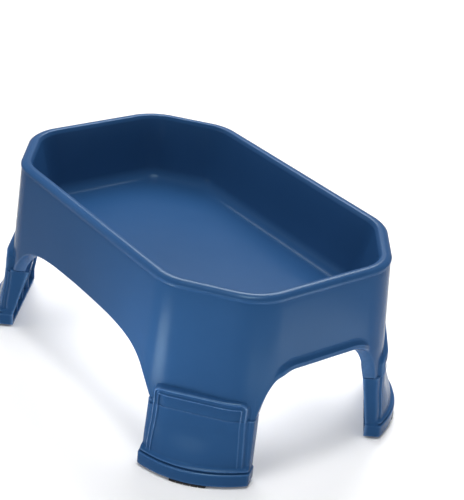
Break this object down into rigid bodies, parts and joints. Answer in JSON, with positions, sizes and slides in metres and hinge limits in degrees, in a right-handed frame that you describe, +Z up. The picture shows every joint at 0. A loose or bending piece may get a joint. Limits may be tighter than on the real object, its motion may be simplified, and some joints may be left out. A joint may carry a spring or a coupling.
{
  "type": "raised pet water bowl",
  "caption": "Long eight-sided raised water trough for dogs: blue moulded plastic basin on short hollow legs, with pull-off flared leg extensions on black rubber pads.",
  "frame": {"origin": "middle of the footprint, on the floor, with the extensions fitted", "axes": "+X along the length, +Y across the width, +Z up"},
  "size_m": [0.5082, 0.3446, 0.218],
  "materials": {
    "basin_plastic": "satin injection-moulded polypropylene, denim blue",
    "extension_plastic": "satin injection-moulded polypropylene, denim blue",
    "rubber": "matt black rubber"
  },
  "bodies": {
    "basin": {"basin": "basin_plastic", "basin_pad_front_left": "rubber", "basin_pad_front_right": "rubber", "basin_pad_rear_right": "rubber", "basin_pad_rear_left": "rubber"},
    "extension_front_left": {"extension_front_left": "extension_plastic", "foot_pad_front_left": "rubber"},
    "extension_front_right": {"extension_front_right": "extension_plastic", "foot_pad_front_right": "rubber"},
    "extension_rear_right": {"extension_rear_right": "extension_plastic", "foot_pad_rear_right": "rubber"},
    "extension_rear_left": {"extension_rear_left": "extension_plastic", "foot_pad_rear_left": "rubber"}
  },
  "joints": [
    {"name": "pull_off_front_left", "type": "slide", "parent": "basin", "child": "extension_front_left", "axis": [0, 0, -1], "range_m": [0, 0.05]},
    {"name": "pull_off_front_right", "type": "slide", "parent": "basin", "child": "extension_front_right", "axis": [0, 0, -1], "range_m": [0, 0.05]},
    {"name": "pull_off_rear_right", "type": "slide", "parent": "basin", "child": "extension_rear_right", "axis": [0, 0, -1], "range_m": [0, 0.05]},
    {"name": "pull_off_rear_left", "type": "slide", "parent": "basin", "child": "extension_rear_left", "axis": [0, 0, -1], "range_m": [0, 0.05]}
  ]
}
